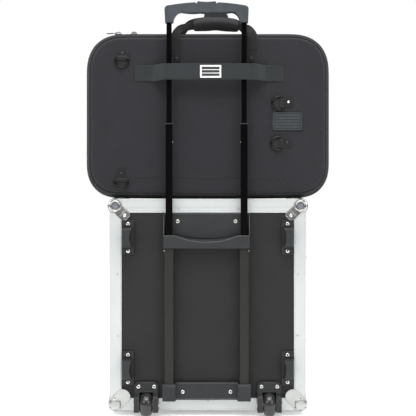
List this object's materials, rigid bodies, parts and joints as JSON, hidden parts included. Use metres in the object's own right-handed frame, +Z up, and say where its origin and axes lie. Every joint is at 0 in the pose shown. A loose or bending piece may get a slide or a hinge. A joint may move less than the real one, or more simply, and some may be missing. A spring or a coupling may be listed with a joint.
{
  "type": "rolling laptop case",
  "caption": "Wheeled flight case with a telescopic trolley handle, carrying a moulded laptop case on a sleeve strap.",
  "frame": {"origin": "middle of the footprint, on the floor the wheels stand on", "axes": "+Z up along the trolley tubes, +Y from the trolley side towards the lid, +X to the right for someone facing the trolley side"},
  "size_m": [0.615, 0.276, 1.0305],
  "materials": {
    "laminate": "black laminated plywood, fine grain",
    "aluminium": "satin extruded aluminium",
    "plated_steel": "bright zinc plated steel",
    "plain_steel": "plain steel",
    "black_plastic": "moulded black nylon",
    "black_tube": "gloss black anodised aluminium tube",
    "grip_plastic": "dark slate moulded plastic",
    "rubber": "black rubber",
    "wheel_tread": "polished black polyurethane",
    "shell_fabric": "charcoal woven nylon bonded to moulded foam",
    "webbing": "black woven webbing"
  },
  "bodies": {
    "flight_case": {"back_panel": "laminate", "top_board": "laminate", "bottom_board": "laminate", "left_board": "laminate", "right_board": "laminate", "base_closing_frame": "aluminium", "back_edge_left": "aluminium", "back_edge_right": "aluminium", "back_edge_top": "aluminium", "back_edge_bottom": "aluminium", "ball_corner_top_left": "plated_steel", "ball_corner_top_right": "plated_steel", "ball_corner_bottom_left": "plated_steel", "ball_corner_bottom_right": "plated_steel", "skid_foot_top_left": "black_plastic", "skid_foot_top_right": "black_plastic", "skid_foot_bottom_left": "black_plastic", "skid_foot_bottom_right": "black_plastic", "wheel_housing_left": "black_plastic", "wheel_housing_right": "black_plastic", "wheel_axle_left": "plain_steel", "wheel_axle_right": "plain_steel", "base_foot_left": "rubber", "base_foot_right": "rubber", "hinge_leaf_base": "plain_steel", "latch_plate_lower": "plated_steel", "latch_plate_upper": "plated_steel", "trolley_top_bracket": "black_plastic", "trolley_bottom_bracket": "black_plastic", "trolley_channel_left": "black_tube", "trolley_channel_right": "black_tube"},
    "wheel_left": {"wheel_left": "wheel_tread"},
    "wheel_right": {"wheel_right": "wheel_tread"},
    "middle_stage": {"middle_tube_left": "black_tube", "middle_tube_right": "black_tube", "stage_collar_left": "black_plastic", "stage_collar_right": "black_plastic"},
    "upper_stage": {"upper_tube_left": "black_tube", "upper_tube_right": "black_tube", "grip_front_half": "grip_plastic", "grip_rear_half": "grip_plastic"},
    "release": {"release_button": "grip_plastic", "release_linkage": "plain_steel"},
    "lid": {"lid_closing_frame": "aluminium", "lid_shell": "laminate", "hinge_leaf_lid": "plain_steel"},
    "latch_lower": {"latch_handle_lower": "plated_steel"},
    "latch_upper": {"latch_handle_upper": "plated_steel"},
    "laptop_case": {"laptop_shell_rear": "shell_fabric", "trolley_sleeve_strap": "webbing", "carry_handle_rear": "webbing", "carry_handle_wrap": "shell_fabric"},
    "laptop_case_front": {"laptop_shell_front": "shell_fabric", "carry_handle_front": "webbing"},
    "zip_left": {"zip_slider_left": "plain_steel"},
    "zip_right": {"zip_slider_right": "plain_steel"},
    "ring_top_left": {"d_ring_top_left": "black_plastic"},
    "ring_bottom_left": {"d_ring_bottom_left": "black_plastic"},
    "ring_right_upper": {"d_ring_right_upper": "black_plastic"},
    "ring_right_lower": {"d_ring_right_lower": "black_plastic"}
  },
  "joints": [
    {"name": "wheel_left_spin", "type": "hinge", "parent": "flight_case", "child": "wheel_left", "pos_m": [-0.153, -0.108, 0.03], "axis": [1, 0, 0], "continuous": true},
    {"name": "wheel_right_spin", "type": "hinge", "parent": "flight_case", "child": "wheel_right", "pos_m": [0.153, -0.108, 0.03], "axis": [1, 0, 0], "continuous": true},
    {"name": "middle_stage_slide", "type": "slide", "parent": "flight_case", "child": "middle_stage", "axis": [0, 0, 1], "range_m": [-0.275, 0]},
    {"name": "upper_stage_slide", "type": "slide", "parent": "middle_stage", "child": "upper_stage", "axis": [0, 0, 1], "range_m": [-0.247, 0]},
    {"name": "release_button_press", "type": "slide", "parent": "upper_stage", "child": "release", "axis": [0, 0, 1], "range_m": [-0.005, 0], "stiffness_N_per_m": 900, "springref_m": 0.006},
    {"name": "lid_hinge", "type": "hinge", "parent": "flight_case", "child": "lid", "pos_m": [-0.2495, 0.078, 0.2785], "axis": [0, 0, 1], "range_deg": [0, 110]},
    {"name": "latch_lower_twist", "type": "hinge", "parent": "flight_case", "child": "latch_lower", "pos_m": [0.24985, 0.042, 0.17], "axis": [1, 0, 0], "range_deg": [0, 90]},
    {"name": "latch_upper_twist", "type": "hinge", "parent": "flight_case", "child": "latch_upper", "pos_m": [0.24985, 0.042, 0.39], "axis": [1, 0, 0], "range_deg": [0, 90]},
    {"name": "laptop_case_lift", "type": "slide", "parent": "flight_case", "child": "laptop_case", "axis": [0, 0, 1], "range_m": [0, 0.25]},
    {"name": "laptop_case_open", "type": "hinge", "parent": "laptop_case", "child": "laptop_case_front", "pos_m": [-0.3075, -0.038, 0.742], "axis": [0, 0, 1], "range_deg": [0, 150]},
    {"name": "zip_right_slide", "type": "slide", "parent": "laptop_case", "child": "zip_right", "axis": [1, 0, 0], "range_m": [0, 0.38]},
    {"name": "zip_left_round_corner", "type": "hinge", "parent": "laptop_case", "child": "zip_left", "pos_m": [-0.2231, -0.038, 0.8756], "axis": [0, -1, 0], "range_deg": [0, 50]},
    {"name": "ring_top_left_swing", "type": "hinge", "parent": "laptop_case", "child": "ring_top_left", "pos_m": [-0.214, -0.0988, 0.893], "axis": [-1, 0, 0], "range_deg": [0, 100]},
    {"name": "ring_bottom_left_swing", "type": "hinge", "parent": "laptop_case", "child": "ring_bottom_left", "pos_m": [-0.216, -0.0988, 0.588], "axis": [-1, 0, 0], "range_deg": [0, 100]},
    {"name": "ring_right_upper_swing", "type": "hinge", "parent": "laptop_case", "child": "ring_right_upper", "pos_m": [0.184, -0.0988, 0.781], "axis": [0, 0, 1], "range_deg": [0, 100]},
    {"name": "ring_right_lower_swing", "type": "hinge", "parent": "laptop_case", "child": "ring_right_lower", "pos_m": [0.181, -0.0988, 0.68], "axis": [0, 0, 1], "range_deg": [0, 100]}
  ]
}
